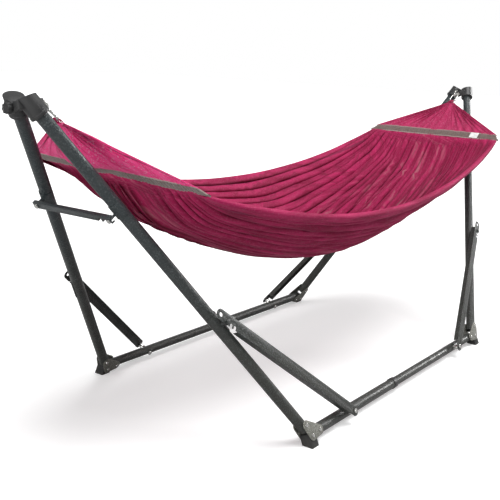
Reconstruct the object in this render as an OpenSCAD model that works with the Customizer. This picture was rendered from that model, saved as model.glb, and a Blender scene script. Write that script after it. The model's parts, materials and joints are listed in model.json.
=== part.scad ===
// Hammock on a folding steel stand. Two identical side frames lean together over a
// hub at each end; the hammock hangs between the two eye bolts.
// X runs along the stand, Y across it (-Y is the near side), Z up, floor at Z = 0.

/* [Stand] */
// Distance along X between the upper ends of the legs
hub_span = 2900; // [2700:10:3000]
// Distance along X between the corners where legs and base tubes meet
foot_span = 1376; // [1300:10:1450]
// Distance across Y between the two base tubes
base_width = 942; // [860:2:1000]
// Height of the hub hinge line, which is also the swing line of the hammock
hinge_z = 1083; // [1060:1:1110]
// Height of the base tube axes
base_z = 35; // [33:1:40]
// Distance of each side frame's plane from the hinge line
frame_gap = 33.3; // [32.5:0.1:36]

/* [Tubes] */
// Outer diameter of the legs and of the wide base tubes
tube_d = 38; // [36:0.5:40]
// Outer diameter of the narrow base tubes
inner_tube_d = 33.6; // [32:0.1:34]
// Wall of every tube
tube_wall = 1.7; // [1.2:0.1:1.8]
// X position of the mouth of a wide base tube, from the middle
mouth_x = 100; // [80:5:160]
// Length of narrow tube that stays inside the wide one
tube_overlap = 190; // [150:10:195]

/* [Braces] */
// Distance of a brace pivot from the middle of the stand
brace_pivot_x = 454; // [430:1:480]
// Height of the brace hole above the base axis, measured up the frame
brace_top_up = 470; // [440:1:500]
// Width of a brace
brace_w = 36; // [32:1:40]
// Distance from a frame's plane to the outer face of its brace
brace_face = 46; // [44:1:50]

/* [Spreader bars] */
// Distance up the leg from its corner to the spreader bar
spreader_up = 1006; // [980:1:1030]
// Height of a spreader bar's section
spreader_h = 22; // [20:1:26]

/* [Hammock] */
// Half the length of the bed, between the two bands
bed_half = 1120; // [1080:5:1160]
// Height of the bands above the floor
band_z = 880; // [860:1:900]
// Half the width of the bands
band_half = 330; // [300:5:360]
// Height of the lowest point of the bed
belly_z = 457; // [440:1:500]
// Lowest height of the near hem
near_hem_z = 685; // [660:1:720]
// Lowest height of the far hem
far_hem_z = 725; // [700:1:760]

/* [Hidden] */

$fn = 64;
steel = [0.27, 0.28, 0.27];
olive = [0.45, 0.45, 0.39];
black = [0.12, 0.12, 0.12];
silver = [0.8, 0.8, 0.8];
magenta = [0.72, 0.13, 0.35];
brown = [0.42, 0.35, 0.32];

tube_r = tube_d / 2;
inner_r = inner_tube_d / 2;
foot_x = foot_span / 2;

// Each side frame is flat. Its plane leans inwards at the top by tilt, and in that
// plane the hinge line is plane_drop above the base axis.
hinge_rise = hinge_z - base_z;
hinge_reach = sqrt(pow(base_width / 2, 2) + pow(hinge_rise, 2));
tilt = atan(base_width / 2 / hinge_rise) - asin(frame_gap / hinge_reach);
plane_drop = sqrt(pow(hinge_reach, 2) - pow(frame_gap, 2));
leg_top_up = plane_drop + 4.5;
leg_run = (hub_span - foot_span) / 2;
lean = atan(leg_run / leg_top_up);
leg_len = sqrt(pow(leg_run, 2) + pow(leg_top_up, 2));
hub_x = foot_x + plane_drop * tan(lean);

// Foot corner
tube_setback = 24;
rivet_along = 42;
plate_t = 2.5;
plate_r = 17;
plate_gap = 0.2;
rivet_r = 4;

// Hub
hub_r = 29;
hub_over = 16;
hub_depth = 44;
hub_lip = 8;
hub_slope = 20;
hub_fit = 0.15;
lug_r = 14;
lug_t = 6;
lug_in = 30;
lug_out = 36.5;
bolt_r = 5;
bore_fit = 0.1;
meet_gap = 0.3;

// Brace, from the base pivot to the hole over the leg's axis
brace_run = foot_x + brace_top_up * tan(lean) - brace_pivot_x;
brace_len = sqrt(pow(brace_run, 2) + pow(brace_top_up, 2));
brace_angle = atan(brace_top_up / brace_run);
web_t = 2;
flange_in = 25;
flange_from = 26;
notch_pitch = 17;
catch_below = 35;
pin_r = 5;
pin_fit = 0.5;
catch_x = foot_x + (brace_top_up - catch_below * cos(lean)) * tan(lean);
catch_z = brace_top_up - catch_below * cos(lean);
catch_dx = catch_x - brace_pivot_x;
catch_u = catch_dx * cos(brace_angle) + catch_z * sin(brace_angle);
catch_v = catch_dx * sin(brace_angle) - catch_z * cos(brace_angle);

// Spreader bars lie across the outer side of the two legs of one end
vee_pitch = atan(tan(lean) / cos(tilt));
spreader_z = base_z + spreader_up * cos(lean) * cos(tilt);
spreader_x = foot_x + spreader_up * sin(lean);
spreader_y = base_width / 2 - spreader_up * cos(lean) * sin(tilt);
vee_half = atan(tan(tilt) * cos(vee_pitch));
bar_in = 37;
bar_out = 49;
stud_r = 4;
slot_pitch = 18;
slot_drop = 3;

// Eye bolt, carabiner and rope loops, along the line of pull
eye_x = hub_x - 65;
eye_ring = 16;
wire_r = 4;
pull_x = eye_x - bed_half;
pull = atan((hinge_z - band_z) / pull_x);
link_start = eye_ring - 2 * wire_r - 0.8;
link_bend = 15;
link_straight = 20;
link_end = link_start + 2 * link_bend + link_straight;
gate_r = 3;
gate_len = 17;
loop_ring = 10;
loop_r = 3;
loop_at = link_end + loop_ring - loop_r - wire_r - 0.4;
panel_from = loop_at + loop_ring - loop_r;
panel_to = sqrt(pow(pull_x, 2) + pow(hinge_z - band_z, 2));
panel_t = 6;
band_w = 45;
band_t = 5;
gather_half = 20;

// Bed section
bed_t = 6;
bed_end_gap = 4;
bed_rows = 24;
bed_cols = 16;
hem_bulge = 25;
belly_share = 0.8;
belly_power = 1.8;
round_power = 2.1;

// ---- Places ----

// Frame coordinates: X towards the end, Y outwards from the frame's plane, Z up the
// frame, origin below the hinge on the base axis.
module on_frame(side, end) {
    mirror([0, side < 0 ? 1 : 0, 0])
        translate([0, 0, hinge_z]) rotate([tilt, 0, 0])
            translate([0, frame_gap, -plane_drop])
                mirror([end < 0 ? 1 : 0, 0, 0]) children();
}

// Z runs up the leg's axis from the corner
module up_leg(side, end) {
    on_frame(side, end) translate([foot_x, 0, 0]) rotate([0, lean, 0]) children();
}

// X runs up the brace from its pivot, Z towards its inner edge
module along_brace(side, end) {
    on_frame(side, end) translate([brace_pivot_x, 0, 0]) rotate([0, -brace_angle, 0]) children();
}

// The plane of the two legs of an end: -X points out of it, Z up it
module on_vee(end) {
    rotate([0, 0, end < 0 ? 0 : 180])
        translate([-spreader_x, 0, spreader_z]) rotate([0, -vee_pitch, 0]) children();
}

// X runs from the eye down the line of pull, Y across the stand
module on_pull(end) {
    mirror([end > 0 ? 1 : 0, 0, 0])
        translate([-eye_x, 0, hinge_z]) rotate([0, pull, 0]) children();
}

module lying_y(r, y0, y1) {
    translate([0, y0, 0]) rotate([-90, 0, 0]) cylinder(r = r, h = y1 - y0);
}

module lying_x(r, x0, x1) {
    translate([x0, 0, 0]) rotate([0, 90, 0]) cylinder(r = r, h = x1 - x0);
}

module tube(r, length) {
    difference() {
        cylinder(r = r, h = length);
        translate([0, 0, -1]) cylinder(r = r - tube_wall, h = length + 2);
    }
}

// ---- Legs and feet ----

module leg(side, end) {
    color(steel) up_leg(side, end)
        difference() {
            translate([0, 0, tube_setback]) tube(tube_r, leg_len - tube_setback);
            translate([0, 0, rivet_along]) lying_y(rivet_r, -tube_d, tube_d);
        }
}

module foot_rivet_places() {
    translate([rivet_along * sin(lean), 0, rivet_along * cos(lean)]) children();
    translate([-rivet_along, 0, 0]) children();
    translate([3, 0, -5]) children();
}

module foot_plates(side, end) {
    color(olive) on_frame(side, end) translate([foot_x, 0, 0])
        for (face = [-1, 1])
            difference() {
                hull() foot_rivet_places() foot_plate_boss(face, plate_r, plate_t);
                foot_rivet_places() foot_plate_boss(face, rivet_r, plate_t + 1);
            }
}

module foot_plate_boss(face, r, t) {
    y0 = tube_r + plate_gap;
    lying_y(r, face > 0 ? y0 : -y0 - t, face > 0 ? y0 + t : -y0, $fn = 32);
}

module foot_rivets(side, end) {
    head = 2.5;
    y1 = tube_r + plate_gap + plate_t;
    color(silver) on_frame(side, end) translate([foot_x, 0, 0])
        foot_rivet_places() {
            lying_y(rivet_r, -y1, y1);
            lying_y(1.6 * rivet_r, y1, y1 + head);
            lying_y(1.6 * rivet_r, -y1 - head, -y1);
        }
}

module rubber_foot(side, end) {
    block = [44, 2 * tube_r, 60];
    color(black) intersection() {
        on_frame(side, end) translate([foot_x + 3, 0, 0])
            difference() {
                union() {
                    translate([0, 0, -5]) lying_y(20, -block.y / 2, block.y / 2);
                    translate([-20, -block.y / 2, -5 - block.z]) cube([40, block.y, block.z]);
                }
                translate([0, 0, -5]) lying_y(rivet_r, -block.y, block.y);
                translate([-50, -block.y, 4]) cube([100, 2 * block.y, 60]);
            }
        translate([-2000, -1000, 0]) cube([4000, 2000, 200]);
    }
}

// ---- Base ----

module base_tube(side, end, r, from_x) {
    to_x = foot_x - tube_setback;
    on_frame(side, end) difference() {
        translate([from_x, 0, 0]) rotate([0, 90, 0]) tube(r, to_x - from_x);
        translate([brace_pivot_x, 0, 0]) lying_y(bolt_r, -tube_d, tube_d);
        translate([foot_x - rivet_along, 0, 0]) lying_y(rivet_r, -tube_d, tube_d);
    }
}

module base_outer(side, end) {
    color(steel) base_tube(side, end, tube_r, mouth_x);
}

module base_inner(side, end) {
    color(steel) base_tube(side, end, inner_r, -mouth_x - tube_overlap);
}

// Plastic bushing pushed onto the mouth of the wide tube
module collar(side, end) {
    length = 30;
    color(black) on_frame(side, end) rotate([0, 90, 0]) translate([0, 0, mouth_x - length])
        difference() {
            rotate_extrude() polygon([
                [0, 0], [tube_r - 1.5, 0], [tube_r + 1, 3], [tube_r + 2, length - 6],
                [tube_r + 2, length], [0, length]]);
            translate([0, 0, -1]) cylinder(r = inner_r + 0.2, h = length + 2);
        }
}

// ---- Hub ----

// Socket for one leg, with its two hinge lugs. The far halves carry the inner lugs.
module hub(side, end) {
    fold = side > 0 ? lug_in : lug_out;
    color(black) difference() {
        union() {
            up_leg(side, end) hub_barrel();
            for (way = [-1, 1]) hub_lug(side, end, way, fold);
        }
        up_leg(side, end) translate([0, 0, leg_len - hub_depth - 1])
            cylinder(r = tube_r + hub_fit, h = hub_depth + 1);
        up_leg(side, end) translate([0, 0, leg_len + hub_over]) hub_top_cut();
        translate([-2000, 0, hinge_z]) lying_x(bolt_r + bore_fit, 0, 4000);
        hub_flat(side, end);
    }
}

// The two barrels of an end meet on flats at the middle plane, clear of the lugs
module hub_flat(side, end) {
    depth = 100;
    y0 = side > 0 ? meet_gap - depth : -meet_gap;
    inner = lug_in - 0.5;
    translate([end * hub_x - depth, y0, hinge_z + lug_r + 0.5]) cube([2 * depth, depth, depth]);
    translate([end * hub_x - inner, y0, hinge_z - lug_r]) cube([2 * inner, depth, 2 * lug_r + 1]);
}

// Barrel with a stepped lip round its mouth
module hub_barrel() {
    top = leg_len + hub_over + hub_r / 2;
    low = leg_len - hub_depth;
    step = 1.2;
    rotate_extrude() polygon([
        [0, low], [hub_r - step, low], [hub_r, low + step], [hub_r, low + hub_lip],
        [hub_r - step, low + hub_lip + step], [hub_r - step, top], [0, top]]);
}

// The top of a barrel is cut nearer to level than square to the leg
module hub_top_cut() {
    rotate([0, -hub_slope, 0]) translate([-2 * hub_r, -2 * hub_r, 0]) cube(4 * hub_r);
}

module hub_lug(side, end, way, fold) {
    x0 = way > 0 ? fold : -fold - lug_t;
    root = 22;
    on_frame(side, end) translate([hub_x, -frame_gap, plane_drop]) {
        lying_x(lug_r, x0, x0 + lug_t);
        translate([x0, 0, -lug_r]) cube([lug_t, frame_gap, 2 * lug_r]);
        translate([way > 0 ? root : -root - (fold + lug_t - root), lug_r + 2.5, -lug_r])
            cube([fold + lug_t - root, frame_gap - lug_r, 2 * lug_r]);
    }
}

module hub_knob(end) {
    x0 = hub_x + lug_out + lug_t + 0.5;
    color(black) on_hinge(end) difference() {
        union() {
            lying_x(13, x0, x0 + 4);
            lying_x(15, x0 + 4, x0 + 13);
            lying_x(12, x0 + 13, x0 + 15);
        }
        lying_x(bolt_r, x0 - 1, x0 + 9);
    }
}

module on_hinge(end) {
    rotate([0, 0, end < 0 ? 180 : 0]) translate([0, 0, hinge_z]) children();
}

// Hinge pin of the hub with the eye for the hammock on its inner end
module eye_bolt(end) {
    color(silver) on_hinge(end) {
        lying_x(bolt_r, eye_x + eye_ring, hub_x + lug_out + lug_t + 9);
        lying_x(10, eye_x + eye_ring + wire_r + 0.5, hub_x - lug_out - lug_t - 0.5);
        translate([eye_x, 0, 0]) rotate([90, 0, 0])
            rotate_extrude() translate([eye_ring, 0]) circle(r = wire_r);
    }
}

// ---- Braces ----

module brace(side, end) {
    y0 = brace_face - web_t;
    edge = brace_w / 2;
    color(steel) along_brace(side, end) difference() {
        union() {
            lying_y(edge, y0, brace_face);
            translate([brace_len, 0, 0]) lying_y(edge, y0, brace_face);
            translate([0, y0, -edge]) cube([brace_len, web_t, brace_w]);
            for (z = [-edge, edge - web_t])
                translate([flange_from, flange_in, z])
                    cube([flange_end(z) - flange_from, brace_face - flange_in, web_t]);
        }
        lying_y(bolt_r + bore_fit, 0, 2 * brace_face);
        translate([brace_len, 0, 0]) lying_y(7, 0, 2 * brace_face);
        for (i = [0 : 2]) translate([catch_u - i * notch_pitch, 0, -catch_v]) notch(y0);
    }
}

// The flange on the notched edge stops short of the notches
function flange_end(z) = z < 0 ? catch_u - 3 * notch_pitch : brace_len - brace_w / 2 - 8;

module notch(y0) {
    r = pin_r + pin_fit;
    lying_y(r, y0 - 1, brace_face + 1);
    translate([-r, y0 - 1, -brace_w]) cube([2 * r, web_t + 2, brace_w]);
}

module brace_bolt(side, end) {
    color(silver) on_frame(side, end) translate([brace_pivot_x, 0, 0]) {
        lying_y(bolt_r, -tube_r - 5, brace_face + 6);
        lying_y(9, -tube_r - 5, -tube_r - 0.2);
        lying_y(9, tube_r + 0.2, brace_face - web_t - 0.3);
        lying_y(8, brace_face + 0.3, brace_face + 5);
    }
}

// Saddle on the leg with the pin that the brace hooks over
module brace_catch(side, end) {
    color(olive) {
        up_leg(side, end) translate([0, 0, brace_top_up / cos(lean) - catch_below])
            saddle(80);
        on_frame(side, end) translate([catch_x, 0, catch_z]) {
            lying_y(pin_r, tube_r + 1, brace_face + 5);
            lying_y(8, brace_face + 0.8, brace_face + 4);
        }
    }
}

// Half sleeve over the +Y side of a leg, centred on the origin
module saddle(length) {
    wall = 2.5;
    difference() {
        translate([0, 0, -length / 2]) cylinder(r = tube_r + wall, h = length);
        translate([0, 0, -length]) cylinder(r = tube_r + 0.05, h = 2 * length);
        translate([-tube_d, -2 * tube_d, -length]) cube([2 * tube_d, 2 * tube_d, 2 * length]);
    }
}

// ---- Spreader bars ----

module spreader(end) {
    back = spreader_y + 14;
    front = -spreader_y - 10;
    color(steel) on_vee(end) difference() {
        translate([-bar_out, front, -spreader_h / 2])
            cube([bar_out - bar_in, back - front, spreader_h]);
        translate([-bar_out + web_t, front - 1, -spreader_h / 2 + web_t])
            cube([bar_out, back - front + 2, spreader_h - 2 * web_t]);
        translate([0, spreader_y, 0]) lying_x(stud_r + bore_fit, -60, 0);
        for (i = [0 : 2]) translate([0, -spreader_y + i * slot_pitch, -slot_drop]) spreader_slot();
    }
}

// Notch open at the bottom, with a slanted lead-in towards the pivot
module spreader_slot() {
    r = stud_r + pin_fit;
    depth = spreader_h;
    lying_x(r, -60, 0);
    rotate([0, -90, 0]) linear_extrude(height = 60)
        polygon([[0, -r], [0, r], [-depth, r + depth * 0.5], [-depth, -r]]);
}

module vee_saddle(end, y, slant) {
    on_vee(end) translate([0, y, 0]) rotate([slant, 0, 0]) rotate([0, 0, 90]) saddle(44);
}

module spreader_pivot(end) {
    color(silver) {
        vee_saddle(end, spreader_y, vee_half);
        on_vee(end) translate([0, spreader_y, 0]) {
            lying_x(stud_r, -bar_out - 6, -tube_r - 1);
            lying_x(8, -bar_out - 5, -bar_out - 0.3);
            lying_x(7, -bar_out + web_t + 0.3, -tube_r - 1);
        }
    }
}

module spreader_catch(end) {
    color(olive) {
        vee_saddle(end, -spreader_y, -vee_half);
        on_vee(end) translate([0, -spreader_y, -slot_drop]) {
            lying_x(stud_r, -bar_out - 4, -tube_r - 1);
            lying_x(7, -bar_out - 4, -bar_out - 1);
        }
    }
}

// ---- Hanging gear ----

// Oval link with a gap for the gate on its +Y side
module carabiner(end) {
    mid = link_start + link_bend;
    gap = (link_straight - gate_len) / 2;
    color(silver) on_pull(end) {
        translate([mid, 0, 0]) rotate([0, 0, 90]) link_bow();
        translate([mid + link_straight, 0, 0]) rotate([0, 0, -90]) link_bow();
        translate([0, -link_bend, 0]) lying_x(wire_r, mid, mid + link_straight);
        for (x = [mid, mid + link_straight - gap])
            translate([0, link_bend, 0]) lying_x(wire_r, x, x + gap);
    }
}

module link_bow() {
    rotate_extrude(angle = 180) translate([link_bend, 0]) circle(r = wire_r);
}

module gate(end) {
    x0 = link_start + link_bend + (link_straight - gate_len) / 2;
    pivot = x0 + gate_len - gate_r - 0.3;
    color(silver) on_pull(end) translate([0, link_bend, 0]) {
        lying_x(gate_r, x0 + 0.6, pivot);
        translate([pivot, 0, -wire_r]) cylinder(r = gate_r, h = 2 * wire_r);
    }
}

module end_loops(end) {
    color(magenta) on_pull(end) translate([loop_at, 0, 0]) rotate([90, 0, 0])
        rotate_extrude() translate([loop_ring, 0]) circle(r = loop_r);
}

// ---- Hammock ----

// Fan of mesh cloth from the rope loops to the band
module end_panel(end) {
    from = panel_from + 2 * loop_r + 0.5;
    color(magenta) on_pull(end) translate([0, 0, -panel_t / 2])
        linear_extrude(height = panel_t) polygon([
            [from, -gather_half], [panel_to - band_w, -band_half],
            [panel_to - band_w, band_half], [from, gather_half]]);
}

module band(end) {
    color(brown) on_pull(end)
        translate([panel_to - band_w + 0.2, -band_half - 4, -band_t / 2])
            cube([band_w, 2 * band_half + 8, band_t]);
}

module care_label() {
    color("white") on_pull(1)
        translate([panel_to - 0.8 * band_w, -0.72 * band_half, band_t / 2 + 0.1])
            cube([0.8 * band_w, 42, 0.8]);
}

// The bed hangs below the bands in a shallow curve, deepest in the middle.
function hem_z(u, low) = low + (band_z - low) * u * u;
function belly_at(u) = band_z - (band_z - belly_z) * (1 - belly_share * pow(abs(u), belly_power));
function bed_y(u, v) = v * (band_half + hem_bulge * (1 - u * u));
function bed_z(u, v) =
    belly_at(u) + (hem_z(u, v < 0 ? near_hem_z : far_hem_z) - belly_at(u)) * pow(abs(v), round_power);
function bed_point(i, j, lift) =
    let (u = -1 + 2 * i / bed_rows, v = -1 + 2 * j / bed_cols)
        [u * (bed_half - bed_end_gap), bed_y(u, v), bed_z(u, v) + lift];

module hammock_bed() {
    row = bed_cols + 1;
    layer = row * (bed_rows + 1);
    points = [for (lift = [-bed_t / 2, bed_t / 2], i = [0 : bed_rows], j = [0 : bed_cols])
        bed_point(i, j, lift)];
    under = [for (i = [0 : bed_rows - 1], j = [0 : bed_cols - 1])
        let (a = i * row + j) each [[a, a + row, a + row + 1], [a, a + row + 1, a + 1]]];
    over = [for (f = under) [f[2] + layer, f[1] + layer, f[0] + layer]];
    near_far = [for (i = [0 : bed_rows - 1], j = [0, bed_cols])
        let (a = i * row + j, b = a + row, c = a + layer, d = b + layer)
            each j == 0 ? [[a, c, d], [a, d, b]] : [[a, d, c], [a, b, d]]];
    ends = [for (i = [0, bed_rows], j = [0 : bed_cols - 1])
        let (a = i * row + j, b = a + 1, c = a + layer, d = b + layer)
            each i == 0 ? [[a, d, c], [a, b, d]] : [[a, c, d], [a, d, b]]];
    color(magenta) polyhedron(points, concat(under, over, near_far, ends), convexity = 6);
}

// ---- Nodes ----

leg(1, -1);  // leg_far_left
leg(-1, -1);  // leg_near_left
leg(-1, 1);  // leg_near_right
leg(1, 1);  // leg_far_right
hub(1, -1);  // hub_far_left
hub(-1, -1);  // hub_near_left
hub(-1, 1);  // hub_near_right
hub(1, 1);  // hub_far_right
foot_plates(1, -1);  // foot_plates_far_left
foot_plates(-1, -1);  // foot_plates_near_left
foot_plates(-1, 1);  // foot_plates_near_right
foot_plates(1, 1);  // foot_plates_far_right
foot_rivets(1, -1);  // foot_rivets_far_left
foot_rivets(-1, -1);  // foot_rivets_near_left
foot_rivets(-1, 1);  // foot_rivets_near_right
foot_rivets(1, 1);  // foot_rivets_far_right
rubber_foot(1, -1);  // rubber_foot_far_left
rubber_foot(-1, -1);  // rubber_foot_near_left
rubber_foot(-1, 1);  // rubber_foot_near_right
rubber_foot(1, 1);  // rubber_foot_far_right
brace(1, -1);  // brace_far_left
brace(-1, -1);  // brace_near_left
brace(-1, 1);  // brace_near_right
brace(1, 1);  // brace_far_right
brace_bolt(1, -1);  // brace_bolt_far_left
brace_bolt(-1, -1);  // brace_bolt_near_left
brace_bolt(-1, 1);  // brace_bolt_near_right
brace_bolt(1, 1);  // brace_bolt_far_right
brace_catch(1, -1);  // brace_catch_far_left
brace_catch(-1, -1);  // brace_catch_near_left
brace_catch(-1, 1);  // brace_catch_near_right
brace_catch(1, 1);  // brace_catch_far_right
base_outer(-1, -1);  // base_outer_near
base_inner(-1, 1);  // base_inner_near
base_outer(1, 1);  // base_outer_far
base_inner(1, -1);  // base_inner_far
collar(-1, -1);  // collar_near
collar(1, 1);  // collar_far
spreader(-1);  // spreader_left
spreader(1);  // spreader_right
spreader_pivot(-1);  // spreader_pivot_left
spreader_pivot(1);  // spreader_pivot_right
spreader_catch(-1);  // spreader_catch_left
spreader_catch(1);  // spreader_catch_right
hub_knob(-1);  // hub_knob_left
hub_knob(1);  // hub_knob_right
eye_bolt(-1);  // eye_bolt_left
eye_bolt(1);  // eye_bolt_right
carabiner(-1);  // carabiner_left
carabiner(1);  // carabiner_right
gate(-1);  // gate_left
gate(1);  // gate_right
end_loops(-1);  // end_loops_left
end_loops(1);  // end_loops_right
end_panel(-1);  // end_panel_left
end_panel(1);  // end_panel_right
band(-1);  // band_left
band(1);  // band_right
hammock_bed();
care_label();
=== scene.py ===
"""Looks of the hammock on its folding stand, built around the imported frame, in metres."""

import json
import math

import bmesh
import bpy
import numpy as np
from mathutils import Matrix, Vector


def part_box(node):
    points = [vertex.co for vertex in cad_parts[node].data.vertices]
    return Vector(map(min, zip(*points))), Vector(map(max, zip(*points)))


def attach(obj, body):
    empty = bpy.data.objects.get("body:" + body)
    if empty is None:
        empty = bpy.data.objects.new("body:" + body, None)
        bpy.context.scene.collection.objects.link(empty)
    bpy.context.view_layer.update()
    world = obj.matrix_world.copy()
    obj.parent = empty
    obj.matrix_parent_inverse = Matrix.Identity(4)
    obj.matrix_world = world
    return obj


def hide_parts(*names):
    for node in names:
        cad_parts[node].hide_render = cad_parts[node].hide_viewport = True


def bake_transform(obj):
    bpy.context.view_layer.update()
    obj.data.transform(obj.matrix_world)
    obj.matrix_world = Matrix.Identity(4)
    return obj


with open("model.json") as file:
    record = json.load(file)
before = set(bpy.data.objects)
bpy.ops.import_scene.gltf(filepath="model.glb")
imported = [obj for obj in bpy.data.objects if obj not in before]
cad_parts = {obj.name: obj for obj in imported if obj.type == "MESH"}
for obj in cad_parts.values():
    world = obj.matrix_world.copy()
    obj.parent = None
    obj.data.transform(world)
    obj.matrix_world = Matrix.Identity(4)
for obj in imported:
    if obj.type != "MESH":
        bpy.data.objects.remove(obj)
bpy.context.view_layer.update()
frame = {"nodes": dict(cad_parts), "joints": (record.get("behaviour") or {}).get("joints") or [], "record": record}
nodes = frame["nodes"]
joints = {j["name"]: j for j in frame["joints"]}
body_of_node = {n: b for b, ns in frame["record"]["behaviour"]["bodies"].items() for n in ns}

ENDS = {"left": -1, "right": 1}
TWO_PI = 2 * math.pi


# ---- Materials ----

class Shader:
    """A material's or group's node tree, with short ways to add and join nodes."""

    def __init__(self, tree):
        self.tree = tree

    def node(self, kind, sets=None, **inputs):
        made = self.tree.nodes.new("ShaderNode" + kind)
        for key, value in (sets or {}).items():
            setattr(made, key, value)
        for key, value in inputs.items():
            self.join(value, made.inputs[key.replace("_", " ")])
        return made

    def join(self, value, socket):
        if isinstance(value, bpy.types.NodeSocket):
            self.tree.links.new(value, socket)
        else:
            socket.default_value = value

    def math(self, operation, a, b=0.0, clamp=False):
        made = self.node("Math", {"operation": operation, "use_clamp": clamp})
        self.join(a, made.inputs[0])
        self.join(b, made.inputs[1])
        return made.outputs[0]

    def remap(self, value, low, high, to_low=0.0, to_high=1.0):
        made = self.node("MapRange", {"interpolation_type": "SMOOTHSTEP"})
        for key, given in (("Value", value), ("From Min", low), ("From Max", high),
                           ("To Min", to_low), ("To Max", to_high)):
            self.join(given, made.inputs[key])
        return made.outputs["Result"]

    def mix(self, factor, a, b):
        made = self.node("Mix", {"data_type": "RGBA"})
        self.join(factor, made.inputs["Factor"])
        self.join(a, made.inputs["A"])
        self.join(b, made.inputs["B"])
        return made.outputs["Result"]

    def noise(self, vector, scale, detail=2.0, roughness=0.5):
        made = self.node("TexNoise", Scale=scale, Detail=detail, Roughness=roughness)
        self.join(vector, made.inputs["Vector"])
        return made.outputs["Fac"]


def group(name, inputs, outputs, fill):
    """A shader node group. fill(shader, inputs, outputs) builds its inside."""
    tree = bpy.data.node_groups.new(name, "ShaderNodeTree")
    for kind, sockets in (("INPUT", inputs), ("OUTPUT", outputs)):
        for key, form in sockets:
            tree.interface.new_socket(key, in_out=kind, socket_type="NodeSocket" + form)
    shader = Shader(tree)
    start, end = tree.nodes.new("NodeGroupInput"), tree.nodes.new("NodeGroupOutput")
    fill(shader, start.outputs, end.inputs)
    return tree


def use(shader, tree, **inputs):
    made = shader.tree.nodes.new("ShaderNodeGroup")
    made.node_tree = tree
    for key, value in inputs.items():
        shader.join(value, made.inputs[key.replace("_", " ")])
    return made.outputs


def fill_speckle(s, given, out):
    """Uneven grains: a mask of the light ones and a height for all."""
    cells = s.node("TexVoronoi", Scale=given["Scale"])
    s.join(given["Vector"], cells.inputs["Vector"])
    drift = s.noise(given["Vector"], s.math("MULTIPLY", given["Scale"], 0.23), 3.0)
    grain = s.remap(cells.outputs["Distance"], 0.55, 0.05)
    s.join(s.math("MULTIPLY", grain, s.remap(drift, 0.44, 0.66)), out["Mask"])
    s.join(grain, out["Height"])


def fill_wear(s, given, out):
    """Dull dusty patches and fine scratches."""
    patches = s.noise(given["Vector"], 14.0, 5.0, 0.6)
    fine = s.noise(given["Vector"], 900.0, 2.0)
    s.join(s.remap(patches, 0.45, 0.75), out["Dust"])
    s.join(fine, out["Fine"])


STITCH_LONG, STITCH_WIDE = 0.0052, 0.0044
SEWN_PITCH = 0.006


def fill_knit(s, given, out):
    """Warp-knit mesh: ribs along the cloth, broken into stitches."""
    along = s.math("MULTIPLY", given["Along"], TWO_PI / STITCH_LONG)
    across = s.math("MULTIPLY", given["Across"], TWO_PI / STITCH_WIDE)
    sway = s.math("MULTIPLY", s.math("SINE", along), 0.9)
    rib = s.math("SINE", s.math("ADD", across, sway))
    step = s.math("SINE", s.math("ADD", along, s.math("MULTIPLY", across, 0.5)))
    height = s.math("ADD", s.math("MULTIPLY", rib, 0.32), s.math("MULTIPLY", step, 0.18))
    s.join(s.math("ADD", height, 0.5), out["Height"])
    s.join(s.remap(s.math("MULTIPLY", rib, step), 0.35, 0.95), out["Holes"])


def fill_seam(s, given, out):
    """A row of stitches at one distance from the hem, in a shallow groove."""
    off = s.math("ABSOLUTE", s.math("SUBTRACT", given["Distance"], given["Offset"]))
    s.join(s.remap(off, 0.0032, 0.0006), out["Groove"])
    dash = s.math("SINE", s.math("MULTIPLY", given["Along"], TWO_PI / SEWN_PITCH))
    line = s.remap(off, 0.0014, 0.0008)
    s.join(s.math("MULTIPLY", line, s.remap(dash, -0.5, 0.1)), out["Thread"])


VECTOR_SCALE = [("Vector", "Vector"), ("Scale", "Float")]
SPECKLE = group("Speckle", VECTOR_SCALE, [("Mask", "Float"), ("Height", "Float")], fill_speckle)
WEAR = group("Wear", [("Vector", "Vector")], [("Dust", "Float"), ("Fine", "Float")], fill_wear)
KNIT = group("Knit", [("Along", "Float"), ("Across", "Float")],
             [("Height", "Float"), ("Holes", "Float")], fill_knit)
SEAM = group("Seam", [("Distance", "Float"), ("Along", "Float"), ("Offset", "Float")],
             [("Groove", "Float"), ("Thread", "Float")], fill_seam)


def material(name, fixed):
    """A new material and its Principled shader. fixed holds the values that are even all over."""
    made = bpy.data.materials.new(name)
    made.use_nodes = True
    shader = Shader(made.node_tree)
    surface = made.node_tree.nodes["Principled BSDF"]
    for key, value in fixed.items():
        surface.inputs[key].default_value = value
    return made, shader, surface.inputs


def bump(s, out, height, distance, strength=1.0):
    made = s.node("Bump", Height=height, Distance=distance, Strength=strength)
    s.join(made.outputs["Normal"], out["Normal"])


def place_in(s):
    return s.node("TexCoord").outputs["Object"]


def hammered_steel():
    made, s, out = material("powder_coated_steel", {"Metallic": 0.0, "Coat Weight": 0.12,
                                                    "Coat Roughness": 0.22})
    at = place_in(s)
    grains = use(s, SPECKLE, Vector=at, Scale=420.0)
    coarse = use(s, SPECKLE, Vector=at, Scale=150.0)
    worn = use(s, WEAR, Vector=at)
    height = s.node("SeparateXYZ", Vector=at).outputs["Z"]
    base = s.mix(s.remap(height, 0.25, 0.85), (0.026, 0.027, 0.023, 1), (0.019, 0.027, 0.030, 1))
    flecks = s.math("ADD", s.math("MULTIPLY", grains["Mask"], 0.55),
                    s.math("MULTIPLY", coarse["Mask"], 0.40), clamp=True)
    colour = s.mix(flecks, base, (0.125, 0.150, 0.152, 1))
    s.join(s.mix(s.math("MULTIPLY", worn["Dust"], 0.12), colour, (0.09, 0.09, 0.08, 1)),
           out["Base Color"])
    s.join(s.remap(worn["Dust"], 0.0, 1.0, 0.34, 0.52), out["Roughness"])
    bump(s, out, s.math("ADD", grains["Height"], s.math("MULTIPLY", coarse["Height"], 1.4)), 0.0007)
    return made


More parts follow.
